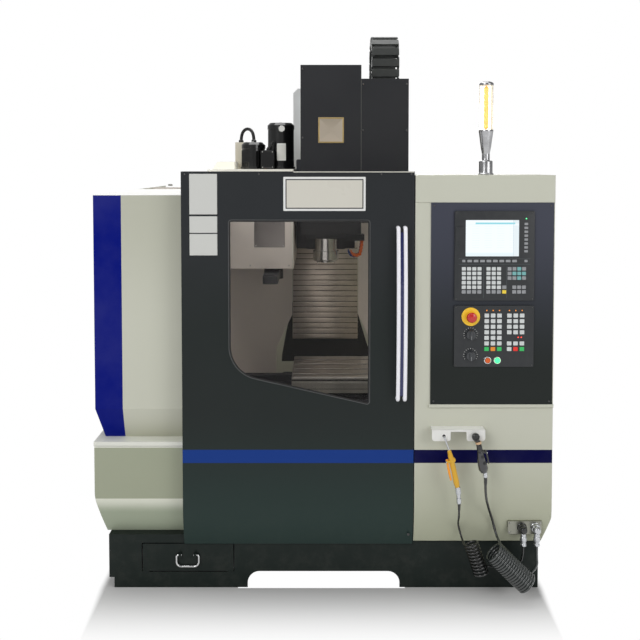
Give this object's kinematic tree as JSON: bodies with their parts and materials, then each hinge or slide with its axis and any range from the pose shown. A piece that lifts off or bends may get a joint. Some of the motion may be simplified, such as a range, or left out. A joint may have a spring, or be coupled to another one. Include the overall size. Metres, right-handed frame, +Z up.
{
  "type": "cnc machining center",
  "caption": "Enclosed vertical machining center with a sliding glazed door, operator panel, tool changer, moving table and head, signal light and hanging wash-down guns.",
  "frame": {"origin": "on the floor under the middle of the enclosure's bounding box, hoses left out", "axes": "+Z up, +X to the operator's right, -Y towards the operator"},
  "size_m": [1.8, 1.964, 2.325],
  "materials": {
    "cream_paint": "semi-gloss textured powder coat",
    "dark_paint": "dark grey textured powder coat",
    "navy_skirt": "dark powder coat",
    "grey_paint": "light grey paint",
    "cast_dark": "painted casting",
    "steel": "ground steel",
    "slat_steel": "brushed sheet steel",
    "chrome": "polished",
    "aluminium": "satin anodised",
    "motor_black": "gloss black enamel",
    "black_plastic": "moulded",
    "chain_plastic": "moulded nylon",
    "panel_black": "textured bezel",
    "key_white": "moulded keys",
    "red_plastic": "moulded",
    "green_plastic": "lit moulded",
    "orange_plastic": "moulded",
    "yellow_plastic": "moulded",
    "pane": "clear sheet",
    "lens": "clear tube",
    "rubber": "folded rubber",
    "hose": "flexible hose",
    "zinc": "white powder coat"
  },
  "bodies": {
    "machine": {"air_gun": "yellow_plastic", "air_hose": "hose", "atc_cover": "grey_paint", "atc_drive": "motor_black", "axis_motors": "motor_black", "back_wall": "grey_paint", "base_skirt": "navy_skirt", "beacon_lens": "lens", "beacon_pole": "chrome", "bed": "cast_dark", "chain_trough": "dark_paint", "chip_pan": "grey_paint", "column": "grey_paint", "control_plate": "panel_black", "coupling_plate": "steel", "door_header": "dark_paint", "front_lower_panel": "cream_paint", "gun_bracket": "zinc", "junction_box": "zinc", "left_panel": "cream_paint", "levelling_feet": "steel", "motor_conduit": "hose", "operator_panels": "panel_black", "panel_keys": "key_white", "rear_cabinet": "cream_paint", "right_cabinet": "cream_paint", "side_panels": "cream_paint", "water_gun": "black_plastic", "water_hose": "hose", "y_bellows": "rubber", "z_way_cover": "slat_steel"},
    "door": {"door": "dark_paint", "door_window": "pane", "door_handle": "aluminium"},
    "drawer": {"chip_drawer": "navy_skirt"},
    "drawer_bail": {"drawer_handle": "chrome"},
    "saddle": {"saddle": "cast_dark", "x_motor": "motor_black"},
    "table": {"table": "steel"},
    "head": {"headstock": "cast_dark", "head_cover": "dark_paint", "spindle_cartridge": "steel", "spindle_motor": "motor_black", "coolant_nozzles": "orange_plastic"},
    "spindle": {"spindle": "steel"},
    "x_screw": {"x_ballscrew": "steel"},
    "y_screw": {"y_ballscrew": "steel"},
    "z_screw": {"z_ballscrew": "steel"},
    "chain": {"cable_chain": "chain_plastic"},
    "magazine": {"magazine_disc": "aluminium"},
    "changer_sleeve": {"arm_sleeve": "steel"},
    "changer_arm": {"atc_arm": "cast_dark"},
    "stop_mushroom": {"estop_button": "red_plastic"},
    "spindle_override": {"spindle_knob": "black_plastic"},
    "feed_override": {"feed_knob": "black_plastic"},
    "start": {"start_button": "green_plastic"},
    "stop": {"stop_button": "orange_plastic"},
    "air_lever": {"air_gun_lever": "orange_plastic"},
    "water_trigger": {"water_gun_trigger": "orange_plastic"},
    "cabinet_door": {"rear_door": "cream_paint"}
  },
  "joints": [
    {"name": "door_slide", "type": "slide", "parent": "machine", "child": "door", "axis": [-1, 0, 0], "range_m": [0, 0.355]},
    {"name": "drawer_slide", "type": "slide", "parent": "machine", "child": "drawer", "axis": [0, -1, 0], "range_m": [0, 0.4]},
    {"name": "bail_swing", "type": "hinge", "parent": "drawer", "child": "drawer_bail", "pos_m": [-0.528, -0.863, 0.134], "axis": [-1, 0, 0], "range_deg": [0, 90]},
    {"name": "saddle_slide", "type": "slide", "parent": "machine", "child": "saddle", "axis": [0, 1, 0], "range_m": [0, 0.36], "deforming": ["y_bellows"]},
    {"name": "table_slide", "type": "slide", "parent": "saddle", "child": "table", "axis": [1, 0, 0], "range_m": [-0.468, 0.072]},
    {"name": "head_slide", "type": "slide", "parent": "machine", "child": "head", "axis": [0, 0, 1], "range_m": [-0.38, 0], "deforming": ["z_way_cover"]},
    {"name": "spindle_spin", "type": "hinge", "parent": "head", "child": "spindle", "pos_m": [0.022, -0.095, 1.3], "axis": [0, 0, 1], "continuous": true},
    {"name": "x_screw_spin", "type": "hinge", "parent": "saddle", "child": "x_screw", "pos_m": [0.022, -0.285, 0.618], "axis": [1, 0, 0], "continuous": true},
    {"name": "y_screw_spin", "type": "hinge", "parent": "machine", "child": "y_screw", "pos_m": [0.022, -0.285, 0.4], "axis": [0, 1, 0], "continuous": true},
    {"name": "z_screw_spin", "type": "hinge", "parent": "machine", "child": "z_screw", "pos_m": [0.022, 0.352, 1.4], "axis": [0, 0, 1], "continuous": true},
    {"name": "chain_travel", "type": "slide", "parent": "machine", "child": "chain", "axis": [0, 0, 1], "range_m": [-0.19, 0]},
    {"name": "magazine_turn", "type": "hinge", "parent": "machine", "child": "magazine", "pos_m": [-0.44, 0.02, 1.425], "axis": [1, 0, 0], "continuous": true},
    {"name": "arm_swing", "type": "hinge", "parent": "machine", "child": "changer_sleeve", "pos_m": [-0.23, -0.095, 1.5], "axis": [0, 0, 1], "range_deg": [0, 270]},
    {"name": "arm_lift", "type": "slide", "parent": "changer_sleeve", "child": "changer_arm", "axis": [0, 0, 1], "range_m": [-0.1, 0]},
    {"name": "stop_press", "type": "slide", "parent": "machine", "child": "stop_mushroom", "axis": [0, 1, 0], "range_m": [0, 0.004]},
    {"name": "spindle_override_turn", "type": "hinge", "parent": "machine", "child": "spindle_override", "pos_m": [0.574, -0.907, 1.02], "axis": [0, -1, 0], "range_deg": [-120, 120]},
    {"name": "feed_override_turn", "type": "hinge", "parent": "machine", "child": "feed_override", "pos_m": [0.574, -0.907, 0.939], "axis": [0, -1, 0], "range_deg": [-120, 120]},
    {"name": "start_press", "type": "slide", "parent": "machine", "child": "start", "axis": [0, 1, 0], "range_m": [0, 0.0025], "stiffness_N_per_m": 400},
    {"name": "stop_button_press", "type": "slide", "parent": "machine", "child": "stop", "axis": [0, 1, 0], "range_m": [0, 0.0025], "stiffness_N_per_m": 400},
    {"name": "air_lever_squeeze", "type": "hinge", "parent": "machine", "child": "air_lever", "pos_m": [0.474, -0.961, 0.545], "axis": [0, -1, 0], "range_deg": [0, 3.5], "stiffness_Nm_per_rad": 0.6},
    {"name": "water_trigger_squeeze", "type": "hinge", "parent": "machine", "child": "water_trigger", "pos_m": [0.628, -0.961, 0.582], "axis": [0, 1, 0], "range_deg": [0, 3], "stiffness_Nm_per_rad": 0.6},
    {"name": "cabinet_door_hinge", "type": "hinge", "parent": "machine", "child": "cabinet_door", "pos_m": [0.609, 0.919, 1.1], "axis": [0, 0, -1], "range_deg": [0, 110]}
  ],
  "couplings": [
    {"joint": "x_screw_spin", "follows": "table_slide", "rad_per_m": 628.32},
    {"joint": "y_screw_spin", "follows": "saddle_slide", "rad_per_m": 628.32},
    {"joint": "z_screw_spin", "follows": "head_slide", "rad_per_m": 628.32},
    {"joint": "chain_travel", "follows": "head_slide", "ratio": 0.5}
  ]
}
